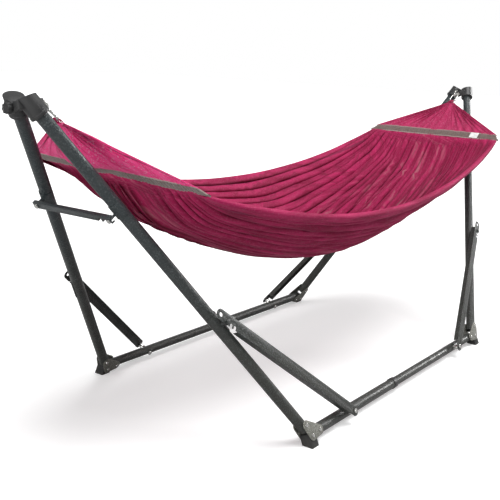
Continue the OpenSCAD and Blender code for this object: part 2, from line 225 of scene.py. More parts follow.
def embossed_plate():
    made, s, out = material("grey_plate", {"Metallic": 0.35})
    at = place_in(s)
    worn = use(s, WEAR, Vector=at)
    ripple = s.node("TexVoronoi", {"feature": "SMOOTH_F1"}, Vector=at, Scale=330.0)
    pips = s.remap(ripple.outputs["Distance"], 0.55, 0.2)
    colour = s.mix(pips, (0.13, 0.13, 0.11, 1), (0.31, 0.31, 0.28, 1))
    s.join(s.mix(s.math("MULTIPLY", worn["Dust"], 0.5), colour, (0.21, 0.206, 0.185, 1)),
           out["Base Color"])
    s.join(s.remap(worn["Fine"], 0.3, 0.7, 0.38, 0.55), out["Roughness"])
    bump(s, out, pips, 0.0006)
    return made


def zinc():
    made, s, out = material("zinc_hardware", {"Metallic": 1.0})
    at = place_in(s)
    worn = use(s, WEAR, Vector=at)
    s.join(s.mix(worn["Dust"], (0.72, 0.72, 0.70, 1), (0.46, 0.45, 0.42, 1)), out["Base Color"])
    s.join(s.remap(worn["Dust"], 0.0, 1.0, 0.22, 0.42), out["Roughness"])
    bump(s, out, worn["Fine"], 0.0001)
    return made


def moulded_plastic():
    made, s, out = material("black_plastic", {"Metallic": 0.0})
    at = place_in(s)
    worn = use(s, WEAR, Vector=at)
    grain = use(s, SPECKLE, Vector=at, Scale=1500.0)
    s.join(s.mix(s.math("MULTIPLY", worn["Dust"], 0.5), (0.020, 0.020, 0.021, 1),
                 (0.040, 0.040, 0.039, 1)), out["Base Color"])
    s.join(s.remap(worn["Dust"], 0.0, 1.0, 0.38, 0.55), out["Roughness"])
    bump(s, out, grain["Height"], 0.00012)
    return made


def foot_rubber():
    made, s, out = material("rubber", {"Metallic": 0.0})
    at = place_in(s)
    worn = use(s, WEAR, Vector=at)
    low = s.remap(s.node("SeparateXYZ", Vector=at).outputs["Z"], 0.012, 0.0)
    dusty = s.math("MAXIMUM", s.math("MULTIPLY", worn["Dust"], 0.6), s.math("MULTIPLY", low, 0.5))
    s.join(s.mix(dusty, (0.014, 0.014, 0.014, 1), (0.07, 0.067, 0.06, 1)), out["Base Color"])
    s.join(s.remap(worn["Fine"], 0.2, 0.8, 0.62, 0.82), out["Roughness"])
    bump(s, out, worn["Fine"], 0.0004)
    return made


def uv_of(s):
    """Along and across the cloth, in metres."""
    uv = s.node("UVMap", {"uv_map": "cloth"}).outputs["UV"]
    parts = s.node("SeparateXYZ", Vector=uv).outputs
    return uv, parts["X"], parts["Y"]


def attribute(s, name):
    return s.node("Attribute", {"attribute_name": name}).outputs["Fac"]


def knitted_cloth(name, bright, deep, seam_at, sheer, glint):
    """Magenta knit in a bright and a deep tone, with a stitched seam at seam_at from the hems.
    sheer is the strength of the worn-thin streaks, glint that of the painted sparkle and glints.
    Painted shade darkens the fold valleys, by the mesh's crease_shade, and the seam's groove."""
    made, s, out = material(name, {"Metallic": 0.0, "Sheen Weight": 0.05, "Sheen Roughness": 0.45,
                                   "Sheen Tint": (1.0, 0.50, 0.70, 1), "Specular IOR Level": 0.12})
    uv, along, across = uv_of(s)
    knit = use(s, KNIT, Along=along, Across=across)
    streaked = s.node("Mapping", Vector=uv)
    streaked.inputs["Scale"].default_value = (0.8, 8.0, 1.0)
    streaks = s.noise(streaked.outputs["Vector"], 4.2, 5.0, 0.62)
    cloudy = s.noise(uv, 9.0, 4.0)
    tone = s.mix(s.remap(streaks, 0.36, 0.66), deep, bright)
    tone = s.mix(s.math("MULTIPLY", s.remap(cloudy, 0.5, 0.75), 0.35), tone,
                 tuple(0.5 * (a + b) for a, b in zip(bright, deep)))
    # Painted glints: pale pink dots at the knit's holes and scattered sparkle, for light through and off the mesh
    hole_glint = s.math("MULTIPLY", knit["Holes"], glint)
    tone = s.mix(s.math("MULTIPLY", knit["Height"], 0.25), tone, deep)
    tone = s.mix(hole_glint, tone, GLINT)
    spark = use(s, SPECKLE, Vector=uv, Scale=120.0)
    tone = s.mix(s.math("MULTIPLY", s.remap(spark["Height"], 0.35, 0.75), glint), tone, GLINT)
    thin = s.math("MULTIPLY", s.remap(streaks, 0.51, 0.63), sheer)
    thin = s.math("MULTIPLY", thin, s.remap(cloudy, 0.40, 0.56))
    thin = s.math("MULTIPLY", thin, s.remap(attribute(s, "from_hem"), 0.12, 0.40))
    tone = s.mix(thin, tone, (0.36, 0.19, 0.20, 1))
    # Painted shade: the cloth goes near black in its fold valleys, by the stored crease_shade
    tone = s.mix(s.math("MULTIPLY", attribute(s, "crease_shade"), 0.94), tone, (0.085, 0.003, 0.014, 1))
    seam = use(s, SEAM, Distance=attribute(s, "from_hem"), Along=along, Offset=seam_at)
    # Painted shade in the seam's shallow groove
    tone = s.mix(s.math("MULTIPLY", seam["Groove"], 0.7), tone, (0.10, 0.005, 0.025, 1))
    s.join(s.mix(s.math("MULTIPLY", seam["Thread"], 0.6), tone, (0.30, 0.03, 0.10, 1)),
           out["Base Color"])
    s.join(s.remap(streaks, 0.3, 0.7, 0.72, 0.58), out["Roughness"])
    relief = s.math("SUBTRACT", knit["Height"], s.math("MULTIPLY", seam["Groove"], 1.2))
    bump(s, out, relief, 0.0009, 0.8)
    return made


def woven_tape(name, middle, edge, half):
    """Tape: cross ribs, with paler woven edges and a line of stitches beside each."""
    made, s, out = material(name, {"Metallic": 0.0, "Sheen Weight": 0.25,
                                   "Sheen Roughness": 0.5, "Specular IOR Level": 0.3})
    uv, along, across = uv_of(s)
    off = s.math("ABSOLUTE", across)
    rib = s.math("SINE", s.math("MULTIPLY", along, TWO_PI / 0.0022))
    twill = s.math("SINE", s.math("ADD", s.math("MULTIPLY", along, TWO_PI / 0.003),
                                  s.math("MULTIPLY", across, TWO_PI / 0.003)))
    weave = s.math("ADD", s.math("MULTIPLY", rib, 0.3), s.math("MULTIPLY", twill, 0.2))
    dirt = s.noise(uv, 60.0, 4.0)
    colour = s.mix(s.remap(dirt, 0.35, 0.7), middle, tuple(0.72 * c for c in middle[:3]) + (1,))
    colour = s.mix(s.math("MULTIPLY", s.remap(weave, 0.1, 0.5), 0.3), colour, edge)
    colour = s.mix(s.remap(off, half * 0.80, half * 0.88), colour, edge)
    seam = use(s, SEAM, Distance=off, Along=along, Offset=half * 0.72)
    s.join(s.mix(s.math("MULTIPLY", seam["Thread"], 0.5), colour, edge), out["Base Color"])
    s.join(s.remap(dirt, 0.3, 0.7, 0.7, 0.85), out["Roughness"])
    bump(s, out, s.math("SUBTRACT", weave, seam["Groove"]), 0.0006)
    return made


BAND_HALF, LABEL_HALF = 0.0225, 0.018
STEEL = hammered_steel()
PLATE = embossed_plate()
ZINC = zinc()
PLASTIC = moulded_plastic()
RUBBER = foot_rubber()
PINK = (0.47, 0.013, 0.105, 1)
DEEP = (0.26, 0.005, 0.050, 1)
# Pale pink of the painted glints on the knit
GLINT = (0.72, 0.30, 0.45, 1)
# Distance of the seams from the hems. A cord has none, so its seam is put out of reach.
BED_SEAM, FAN_SEAM, NO_SEAM = 0.031, 0.022, 1.0
BED_CLOTH = knitted_cloth("bed_cloth", PINK, DEEP, BED_SEAM, 0.62, 0.10)
# The left fan is a lighter copy of the knit with strong glints: painted light, for light falling on it and shining
# through its mesh
FAN_CLOTH = {
    "left": knitted_cloth("left_fan_cloth_painted_light", (0.95, 0.070, 0.290, 1), (0.74, 0.026, 0.175, 1),
                          FAN_SEAM, 0.0, 0.65),
    "right": knitted_cloth("right_fan_cloth", (0.48, 0.022, 0.112, 1), (0.30, 0.008, 0.060, 1),
                           FAN_SEAM, 0.0, 0.25)}
CORD_CLOTH = knitted_cloth("cord_cloth", PINK, DEEP, NO_SEAM, 0.0, 0.2)
TAPE = woven_tape("brown_webbing", (0.135, 0.088, 0.075, 1), (0.36, 0.29, 0.27, 1), BAND_HALF)
LABEL = woven_tape("label_cloth", (0.80, 0.81, 0.79, 1), (0.86, 0.86, 0.84, 1), LABEL_HALF)
FINISH = {"powder_coated_steel": STEEL, "grey_plate": PLATE, "zinc_hardware": ZINC,
          "black_plastic": PLASTIC, "rubber": RUBBER, "magenta_cloth": BED_CLOTH,
          "brown_webbing": TAPE, "label_cloth": LABEL}
slot_of_node = {p["node"]: p["material_slot"] for p in frame["record"]["subparts"]}


# ---- Ways of making pieces ----

def only(obj):
    bpy.ops.object.select_all(action="DESELECT")
    obj.select_set(True)
    bpy.context.view_layer.objects.active = obj


def put_in_scene(name, data):
    obj = bpy.data.objects.new(name, data)
    bpy.context.scene.collection.objects.link(obj)
    return obj


def dress(obj, finish):
    obj.data.materials.clear()
    obj.data.materials.append(finish)
    return obj


def modify(obj, kind, **settings):
    made = obj.modifiers.new(kind.title(), kind)
    for key, value in settings.items():
        setattr(made, key, value)
    only(obj)
    bpy.ops.object.modifier_apply(modifier=made.name)


def settle(obj):
    """Leaves the object at the origin, unturned and unscaled, with its place in its mesh."""
    only(obj)
    bpy.ops.object.transform_apply(location=True, rotation=True, scale=True)
    return obj


def round_edges(obj, width, segments=2, angle=40):
    modify(obj, "BEVEL", width=width, segments=segments, limit_method="ANGLE",
           angle_limit=math.radians(angle))
    only(obj)
    bpy.ops.object.shade_smooth_by_angle(angle=math.radians(38))
    return obj


def stand_for(obj, node, finish=None):
    """obj takes the place of a node of the frame, on the same body."""
    slot = slot_of_node[node]
    dress(obj, finish or FINISH[slot])
    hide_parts(node)
    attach(obj, body_of_node[node])
    return obj


def refine(node, width):
    """A copy of a node with its edges rounded, as pressed, moulded or turned parts have them."""
    obj = put_in_scene(node + "_finished", nodes[node].data.copy())
    only(obj)
    bpy.ops.object.mode_set(mode="EDIT")
    bpy.ops.mesh.select_all(action="SELECT")
    bpy.ops.mesh.remove_doubles(threshold=2e-5)
    bpy.ops.mesh.dissolve_limited(angle_limit=math.radians(0.8))
    bpy.ops.object.mode_set(mode="OBJECT")
    if obj.data.has_custom_normals:
        bpy.ops.mesh.customdata_custom_splitnormals_clear()
    round_edges(obj, width)
    return stand_for(obj, node)


def zinc_bolts(obj, reach):
    """Steel saddle with bright bolts, which are the faces within reach of its outermost point
    along the stand. A reach of 0 leaves it all steel."""
    obj.data.materials.clear()
    obj.data.materials.append(STEEL)
    obj.data.materials.append(ZINC)
    outer = max(abs(vert.co.x) for vert in obj.data.vertices)
    for face in obj.data.polygons:
        if abs(face.center.x) > outer - reach:
            face.material_index = 1


# ---- Frame nodes that stay, and those with rounded edges ----

for name, obj in nodes.items():
    dress(obj, FINISH[slot_of_node[name]])

# Width of the rounded edges, and how far the bright bolts reach in, by kind of node
EDGE = {"hub": 0.0016, "foot_plates": 0.0007, "foot_rivets": 0.0011, "rubber_foot": 0.0022,
        "brace": 0.0006, "brace_bolt": 0.0013, "brace_catch": 0.0008, "collar": 0.0012,
        "spreader": 0.0006, "spreader_pivot": 0.0012, "spreader_catch": 0.0009}
BOLTED = {"spreader_pivot": 0.012, "spreader_catch": 0.007, "brace_catch": 0.0}
for name in nodes:
    kinds = [k for k in EDGE if name.startswith(k + "_")]
    if kinds and name not in ("hub_knob_left", "hub_knob_right"):
        kind = max(kinds, key=len)
        made = refine(name, EDGE[kind])
        if kind in BOLTED:
            zinc_bolts(made, BOLTED[kind])


# ---- Hand nuts of the hubs ----

KNOB_RADIUS, KNOB_RIM, KNOB_DISH = 0.0132, 0.0032, 0.002
FLUTE_RISE, FLUTE_PITCH, FLUTE_WIDTH = 0.0017, 45, 22


def hub_knob(end):
    """Fluted hand nut on the end of the hinge bolt."""
    low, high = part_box("hub_knob_" + end)
    middle, deep = (low + high) / 2, high.x - low.x
    bpy.ops.object.select_all(action="DESELECT")
    bpy.ops.mesh.primitive_cylinder_add(
        vertices=48, radius=KNOB_RADIUS, depth=deep, location=middle,
        rotation=(0, math.radians(90) * ENDS[end], 0))
    obj = bpy.context.object
    obj.name = "hand_nut_" + end
    bpy.ops.object.mode_set(mode="EDIT")
    bpy.ops.mesh.select_all(action="DESELECT")
    shape = bmesh.from_edit_mesh(obj.data)
    for face in shape.faces:
        turned = math.degrees(math.atan2(face.normal.y, face.normal.x)) % FLUTE_PITCH
        face.select = abs(face.normal.z) < 0.5 and turned < FLUTE_WIDTH
    bmesh.update_edit_mesh(obj.data)
    bpy.ops.mesh.extrude_region_shrink_fatten(TRANSFORM_OT_shrink_fatten={"value": FLUTE_RISE})
    bpy.ops.mesh.select_all(action="DESELECT")
    shape = bmesh.from_edit_mesh(obj.data)
    for face in shape.faces:
        face.select = face.normal.z > 0.9 and face.calc_area() > 1e-5
    bmesh.update_edit_mesh(obj.data)
    bpy.ops.mesh.inset(thickness=KNOB_RIM)
    bpy.ops.transform.translate(value=(-KNOB_DISH * ENDS[end], 0, 0))
    bpy.ops.object.mode_set(mode="OBJECT")
    settle(obj)
    round_edges(obj, 0.0007, angle=30)
    return stand_for(obj, "hub_knob_" + end)


for end in ENDS:
    hub_knob(end)


# ---- Cloth ----

def smooth(value, low, high):
    t = np.clip((value - low) / (high - low), 0, 1)
    return t * t * (3 - 2 * t)


def wander(value, seed, waves=5, longest=1.0):
    """Smooth random curve along value, about -1 to 1."""
    pick = np.random.default_rng(seed)
    total = np.zeros_like(value)
    for k in range(1, waves + 1):
        total = total + np.sin(TWO_PI * k * value / longest + pick.uniform(0, TWO_PI)) / k ** 0.7
    return total / 1.6


def grid(rows, columns, first=-1):
    """Two grids: along the rows from first to 1, and across the columns from -1 to 1."""
    return (np.linspace(first, 1, rows)[:, None] * np.ones((1, columns)),
            np.ones((rows, 1)) * np.linspace(-1, 1, columns)[None, :])


def grid_normals(points):
    """Unit normals of a grid of points, rows along and columns across."""
    along = np.gradient(points, axis=0)
    across = np.gradient(points, axis=1)
    normal = np.cross(along, across)
    return normal / np.maximum(np.linalg.norm(normal, axis=2, keepdims=True), 1e-9)


def store_flat(mesh, along, across):
    """Each vertex's flat place, in metres, as the UV map that the cloth finishes read."""
    uv = mesh.uv_layers.new(name="cloth")
    corner = np.zeros(len(mesh.loops), np.int32)
    mesh.loops.foreach_get("vertex_index", corner)
    flat = np.stack([along.ravel(), across.ravel()], -1)[corner]
    uv.data.foreach_set("uv", flat.astype(np.float32).ravel())


def cloth_piece(name, points, across, along, from_hem, crease_shade, thickness, finish):
    """A mesh from a grid of points, with its flat place as a UV map in metres."""
    rows, columns = points.shape[:2]
    index = np.arange(rows * columns).reshape(rows, columns)
    quads = np.stack([index[:-1, :-1], index[1:, :-1], index[1:, 1:], index[:-1, 1:]], -1)
    mesh = bpy.data.meshes.new(name)
    mesh.from_pydata(points.reshape(-1, 3).tolist(), [], quads.reshape(-1, 4).tolist())
    store_flat(mesh, along, across)
    # Stored with the flat place: the distance from the hem, and the painted shade of the fold valleys
    for key, value in (("from_hem", from_hem), ("crease_shade", crease_shade)):
        stored = mesh.attributes.new(key, "FLOAT", "POINT")
        stored.data.foreach_set("value", np.clip(value, 0, 1).astype(np.float32).ravel())
    obj = put_in_scene(name, mesh)
    mesh.polygons.foreach_set("use_smooth", [True] * len(mesh.polygons))
    if thickness:
        modify(obj, "SOLIDIFY", thickness=thickness, offset=0.0)
    return dress(obj, finish)


def lengths(points, axis):
    """Running length of a grid along one axis, in metres."""
    steps = np.linalg.norm(np.diff(points, axis=axis), axis=2)
    total = np.cumsum(steps, axis=axis)
    pad = np.zeros_like(total[:1] if axis == 0 else total[:, :1])
    return np.concatenate([pad, total], axis=axis)


class PullLine:
    """The line from an eye bolt down to the band, with the cloth's own directions."""

    def __init__(self, end):
        eye = Vector(joints["hammock_swing"]["pos_m"])
        low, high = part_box("band_" + end)
        self.side = ENDS[end]
        self.eye = np.array([self.side * abs(eye.x), 0.0, eye.z])
        band = np.array((low + high) / 2)
        self.reach = float(np.linalg.norm(band - self.eye))
        self.down = (band - self.eye) / self.reach
        self.out = np.array([-self.side * self.down[2], 0.0, self.side * self.down[0]])
        self.out *= np.sign(self.out[2])
        self.half = (high.y - low.y) / 2


PULL = {end: PullLine(end) for end in ENDS}


# Offset of the left band along the stand and upwards: at its middle, and its slope towards far
ASKEW_X, ASKEW_Z = (0.018, -0.022), (-0.008, 0.021)
RIGHT_LIFT = 0.004


def band_line(end, v):
    """Middle of the band at v, -1 near to 1 far. The left band hangs a little askew."""
    line = PULL[end]
    at = line.eye + line.down * line.reach
    v = np.asarray(v, float)
    askew = 1.0 if end == "left" else 0.0
    x = at[0] + askew * (ASKEW_X[0] + ASKEW_X[1] * v)
    z = at[2] + askew * (ASKEW_Z[0] + ASKEW_Z[1] * v) + (1 - askew) * RIGHT_LIFT
    return np.stack([x, v * line.half, z], -1)


bed_low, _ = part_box("hammock_bed")
BELLY_Z = bed_low.z + 0.004
NEAR_HEM_Z, FAR_HEM_Z = 0.690, 0.729
HEM_BULGE = 0.024
CLOTH_THICK = 0.0016
# Radius of the rolled hems, their columns, how many of those turn, and the step of the rest
ROLL, ROLL_COLUMNS, TURN_COLUMNS, SKIRT_STEP = 0.0105, 12, 7, 0.0038
# Columns in from a hem that give its direction
HEM_LOOK = 4
# How far the cloth goes in under the tape
TUCK = 0.006
# Height of a fold whose valley gets the full painted shade
FULL_CREASE_SHADE = 0.008
# Where the valleys between the long folds lie, from the near side to the far one
VALLEYS = (-1.04, -0.950, -0.895, -0.805, -0.755, -0.705, -0.640, -0.585, -0.515,
           -0.440, -0.350, -0.250, -0.140, -0.020, 0.100, 0.215, 0.320, 0.420,
           0.510, 0.590, 0.670, 0.735, 0.800, 0.850, 0.905, 0.955, 1.04)
# Half the width of the cloth, which one unit of v stands for
HALF_WIDTH = 0.75
# Height of the long folds as a share of their width
LONG_RISE = 0.22
# Folds in half the bed's width, and their greatest height
MIDDLING, MIDDLING_RISE = 11.5, 0.0078
GATHERS, GATHER_RISE = 19.0, 0.0050
RIPPLE_RISE = 0.0018


def bed_base(u, v):
    """The bed without folds. u runs from the left band to the right one, v from near to far."""
    left, right = (band_line(end, v) + PULL[end].down * (BAND_HALF - TUCK) for end in ENDS)
    end = left + (right - left) * ((u + 1) / 2)[..., None]
    fall = 1 - (1 - np.clip((1 - np.abs(u)) / 0.17, 0, 1)) ** 2.4
    depth = (end[..., 2] - BELLY_Z) * (1 - 0.8 * np.abs(u) ** 1.8) * fall
    belly = end[..., 2] - depth
    low = np.where(v < 0, NEAR_HEM_Z, FAR_HEM_Z)
    hem = low + (end[..., 2] - low) * u * u
    z = belly + (hem - belly) * np.abs(v) ** 2.1
    y = end[..., 1] + np.sign(v) * HEM_BULGE * (1 - u * u) * np.abs(v)
    x = end[..., 0]
    return np.stack([x, y, z], -1)


def folded(points, phase, height, lean, facing=1.0):
    """Moves a grid out into rounded folds with narrow valleys, which droop downhill.
    facing is 1 where the rounded side points along the normal, -1 where it points against it,
    and 0 gives even waves. Gives the new grid, and how much painted shade its valleys get."""
    normal = grid_normals(points)
    across = np.gradient(points, axis=1)
    across /= np.maximum(np.linalg.norm(across, axis=2, keepdims=True), 1e-9)
    rise = height * (facing * (2 * np.abs(np.cos(phase / 2)) ** 0.85 - 1)
                     + (1 - np.abs(facing)) * np.cos(phase))
    slip = lean * (0.6 + 0.4 * facing) * height * np.sin(phase - 0.5 * facing)
    # Painted shade for the valleys, set a little to one side of each, under the roll
    shade = (1 - np.abs(np.cos((phase - 0.45 * facing) / 2))) ** 1.5
    valley_shade = shade * np.clip(height / FULL_CREASE_SHADE, 0, 1)
    return points + normal * rise[..., None] + across * slip[..., None], valley_shade


def long_folds(v):
    """Phase and height of the long folds at v."""
    turns = np.arange(len(VALLEYS)) * TWO_PI + math.pi
    middles = [(a + b) / 2 for a, b in zip(VALLEYS, VALLEYS[1:])]
    widths = [(b - a) * HALF_WIDTH for a, b in zip(VALLEYS, VALLEYS[1:])]
    return np.interp(v, VALLEYS, turns), np.interp(v, middles, widths)


def hammock_bed():
    rows, columns = 170, 252
    u, v = grid(rows, columns)
    points = bed_base(u, v)
    flat_across = lengths(points, 1)
    loose = 1 - np.abs(u) ** 6
    edge = np.abs(v)
    ends = np.exp(-(1 - np.abs(u)) / 0.30)
    hold = smooth(1 - np.abs(u), 0.003, 0.040) * smooth(1 - edge, 0.0, 0.03)
    drift = 0.075 * wander(u, 3, 3, 3.1) * (1 - edge) + 0.014 * wander(u + 0.4 * v, 5, 4, 1.7)
    # Long folds that lie along the sides
    facing = 2 * smooth(v, -0.55, 0.45) - 1
    phase, width = long_folds(v + drift * smooth(1 - edge, 0.0, 0.2))
    height = (LONG_RISE * width * (0.45 + 0.55 * smooth(edge, 0.15, 0.6))
              * (0.8 + 0.2 * wander(u + v, 7, 3, 2.3)))
    points, crease_shade = folded(points, phase, height * hold * loose, 0.70, facing)
    # Middling folds that fade across the middle of the bed
    phase = TWO_PI * (MIDDLING * (v + 1.4 * drift) + 0.5 * wander(v + 0.1 * u, 13, 4, 1.3))
    height = (MIDDLING_RISE * (0.12 + 0.88 * smooth(np.abs(u), 0.12, 0.80))
              * (0.7 + 0.3 * wander(v + u, 17, 4, 1.9)))
    points, more = folded(points, phase, np.abs(height) * hold, 0.85, facing)
    crease_shade = np.maximum(crease_shade, more)
    # Gathers along the bands
    phase = TWO_PI * (GATHERS * (v + 0.6 * drift) + 0.8 * wander(v, 19, 5, 0.9))
    points, more = folded(points, phase, GATHER_RISE * ends * hold, 0.6, facing)
    crease_shade = np.maximum(crease_shade, more)
    # Slack ripples running slantwise
    slant = TWO_PI * (2.6 * u + 6.5 * v + 0.4 * wander(u - v, 23, 3, 1.5))
    points, _ = folded(points, slant, RIPPLE_RISE * hold * loose, 0.3)
    hem_distance = np.minimum(flat_across, flat_across[:, -1:] - flat_across)
    near = rolled_hem(points, u, 0)
    far = rolled_hem(points, u, -1)
    whole = np.concatenate([near[:, ::-1], points, far], axis=1)
    flat = lengths(whole, 1)
    flat = flat - flat[:, ROLL_COLUMNS:ROLL_COLUMNS + 1]
    along = lengths(whole, 0).mean(1, keepdims=True) * np.ones((1, whole.shape[1]))
    roll_out = np.zeros((rows, ROLL_COLUMNS))
    distance = np.concatenate([roll_out, hem_distance, roll_out], axis=1)
    crease_shade = np.concatenate([roll_out, crease_shade, roll_out], axis=1)
    obj = cloth_piece("hammock_cloth", whole, flat, along, distance, crease_shade, CLOTH_THICK,
                      BED_CLOTH)
    across_size = float(flat[:, -1].max() - flat[:, 0].min())
    return obj, (round(across_size, 3), round(float(along.max()), 3))


def steady(directions):
    """Unit directions along an edge, with quick changes evened out."""
    made = directions / np.linalg.norm(directions, axis=1, keepdims=True)
    for _ in range(40):
        made[1:-1] = (made[:-2] + 2 * made[1:-1] + made[2:]) / 4
    return made / np.linalg.norm(made, axis=1, keepdims=True)


def rolled_hem(points, u, column):
    """The hem turned outwards and down in a soft roll, from the grid's first or last column."""
    edge = points[:, column]
    rise = steady(edge - points[:, HEM_LOOK if column == 0 else -1 - HEM_LOOK])
    along = steady(np.gradient(edge, axis=0))
    side = -1 if column == 0 else 1
    outwards = steady(np.cross(rise, along))
    outwards *= np.sign(side * outwards[:, 1].sum())
    row = np.abs(u[:, 0])
    radius = ROLL * (1 - 0.7 * row ** 10)
    radius = (radius * (1 + 0.10 * wander(u[:, 0], 31 + side, 5, 1.1)))[:, None]
    made = []
    for k in range(1, ROLL_COLUMNS + 1):
        turn = math.pi * min(1.0, k / TURN_COLUMNS)
        drop = SKIRT_STEP * max(0, k - TURN_COLUMNS)
        centre = edge + outwards * radius
        made.append(centre - outwards * radius * math.cos(turn)
                    + rise * (radius * math.sin(turn) - drop))
    return np.stack(made, 1)


bed, bed_flat = hammock_bed()


HEAD_HALF = 0.021
# Share of the band's length that the fan's edge takes up
FAN_SHARE = 0.985
CHANNEL_TURNS, CHANNEL_RADIUS = 9, 0.0042


def end_fan(end, folds, depth, sag, seed):
    """Mesh cloth from the gathered head to the band: the number of folds, the greatest height
    of one, and how far the middle sags."""
    rows, columns = 120, 240
    line = PULL[end]
    low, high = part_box("end_panel_" + end)
    head = line.reach - BAND_HALF - float(np.linalg.norm([high.x - low.x, 0, high.z - low.z]))
    t, v = grid(rows, columns, 0)
    start = (line.eye + line.down * (head + 0.006))[None, None, :] + np.stack(
        [0 * v, v * HEAD_HALF, 0 * v], -1)
    finish = band_line(end, v * FAN_SHARE) - line.down * (BAND_HALF - TUCK)
    points = start + (finish - start) * t[..., None]
    trough = 0.010 + sag * np.exp(-((v - 0.20) / 0.38) ** 2)
    slack = np.sin(math.pi * t) * (1 - v * v) * trough
    points = points - line.out * slack[..., None]
    width = np.linalg.norm(points[:, -1] - points[:, 0], axis=1)[:, None]
    room = width / folds
    fade = 0.35 + 0.65 * (1 - smooth(t, 0.1, 0.95))
    middle = 0.45 + 0.55 * (0.5 + 0.5 * wander(v, seed + 2, 4, 1.6))
    height = np.minimum(0.30 * room, depth) * fade * np.abs(middle)
    height = height * smooth(1 - np.abs(v), 0.0, 0.06) * smooth(1 - t, 0.0, 0.05)
    phase = TWO_PI * (folds / 2 * (v + 0.03 * wander(v, seed, 4, 0.9))
                      + 0.10 * wander(t + v, seed + 1, 3, 1.4))
    points, crease_shade = folded(points, phase, height, 0.9)
    phase = TWO_PI * (folds * 1.15 * v + 0.6 * wander(v - t, seed + 4, 4, 0.7))
    points, _ = folded(points, phase, 0.28 * height * (1 - 0.5 * t), 0.5)
    # Channel for the cords: the head turns over and back under itself
    over = []
    for k in range(CHANNEL_TURNS, 0, -1):
        angle = math.pi * 1.15 * k / CHANNEL_TURNS
        over.append(points[0] - line.out * (CHANNEL_RADIUS * (1 - math.cos(angle)))
                    - line.down * (CHANNEL_RADIUS * 1.3 * math.sin(angle)))
    whole = np.concatenate([np.stack(over, 0), points], axis=0)
    along = lengths(whole, 0).mean(1, keepdims=True) * np.ones((1, columns))
    across = lengths(whole, 1)
    across = across - across[:, -1:] / 2
    from_hem = np.abs(width / 2 * (1 - np.abs(v)))
    from_hem = np.concatenate([np.zeros((CHANNEL_TURNS, columns)) + 0.5, from_hem], axis=0)
    crease_shade = np.concatenate([np.zeros((CHANNEL_TURNS, columns)), crease_shade], axis=0)
    obj = cloth_piece("end_fan_" + end, whole, across, along, from_hem, crease_shade, CLOTH_THICK,
                      FAN_CLOTH[end])
    return obj, (round(float(2 * line.half), 3), round(float(along.max()), 3))


fans = {"left": end_fan("left", 15, 0.0042, 0.045, 41),
        "right": end_fan("right", 17, 0.0070, 0.0, 53)}


# Where the tape ends, in units of half the frame's band, and half its thickness
TAPE_END, TAPE_THICK = 1.035, 0.0024


def band(end):
    """Doubled tape that holds the gathered bed to the fan, folded to a point at its ends."""
    line = PULL[end]
    rows, columns = 14, 200
    v = np.linspace(-TAPE_END, TAPE_END, columns)
    middle = band_line(end, v)
    across_from_end = (TAPE_END - np.abs(v)) * line.half
    loop = np.linspace(0, TWO_PI, rows, endpoint=False)
    points = np.zeros((columns, rows, 3))
    wave = 0.0016 * wander(v, 61 + line.side, 7, 0.9) * smooth(across_from_end, 0.0, 0.05)
    crimp = 0.0009 * np.cos(TWO_PI * 26 * v) * smooth(across_from_end, 0.0, 0.05)
    taper = smooth(across_from_end, -0.004, 0.030)
    flat_across = np.zeros((columns, rows))
    for k, turn in enumerate(loop):
        c, s = math.cos(turn), math.sin(turn)
        flatten = math.copysign(abs(c) ** 0.45, c)
        width = BAND_HALF * flatten
        width = np.where(flatten < 0, BAND_HALF - (BAND_HALF - width) * taper, width)
        lift = TAPE_THICK * math.copysign(abs(s) ** 0.7, s) + wave + crimp
        points[:, k] = middle + line.down * width[:, None] + line.out * lift[:, None]
        flat_across[:, k] = BAND_HALF * flatten
    index = np.arange(columns * rows).reshape(columns, rows)
    quads = []
    for k in range(rows):
        n = (k + 1) % rows
        quads += np.stack([index[:-1, k], index[1:, k], index[1:, n], index[:-1, n]], -1).tolist()
    faces = quads + [index[0].tolist(), index[-1, ::-1].tolist()]
    mesh = bpy.data.meshes.new("band_tape_" + end)
    mesh.from_pydata(points.reshape(-1, 3).tolist(), [], faces)
    store_flat(mesh, (v * line.half)[:, None] * np.ones((1, rows)), flat_across)
    obj = put_in_scene("band_tape_" + end, mesh)
    only(obj)
    bpy.ops.object.mode_set(mode="EDIT")
    bpy.ops.mesh.select_all(action="SELECT")
    bpy.ops.mesh.normals_make_consistent(inside=False)
    bpy.ops.object.mode_set(mode="OBJECT")
    bpy.ops.object.shade_smooth_by_angle(angle=math.radians(60))
    return stand_for(obj, "band_" + end)


bands = {end: band(end) for end in ENDS}


def care_label():
    """Blank white label sewn over the right band."""
    line = PULL["right"]
    low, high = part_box("care_label")
    rows, columns = 24, 40
    y = np.linspace(low.y, high.y, columns)[None, :] * np.ones((rows, 1))
    across = np.linspace(-LABEL_HALF, LABEL_HALF, rows)[:, None] * np.ones((1, columns))
    middle = band_line("right", y / line.half)
    bend = 0.0040 - 3.0 * across ** 2 + 0.0005 * np.sin(y * 210)
    points = middle + line.down * across[..., None] + line.out * bend[..., None]
    obj = cloth_piece("blank_label", points, across, y, 0 * y + 1, 0 * y, 0.0006, LABEL)
    return stand_for(obj, "care_label")


care_label()


CORD_RADIUS = 0.0015
# How far the loops spread, in the carabiner and in the fan's head
CORD_NEAR, CORD_FAR = 0.0045, 0.0165
LOOP_HALF, LOOP_SLACK, LOOP_TWIST = 0.0044, 1.02, 0.0008


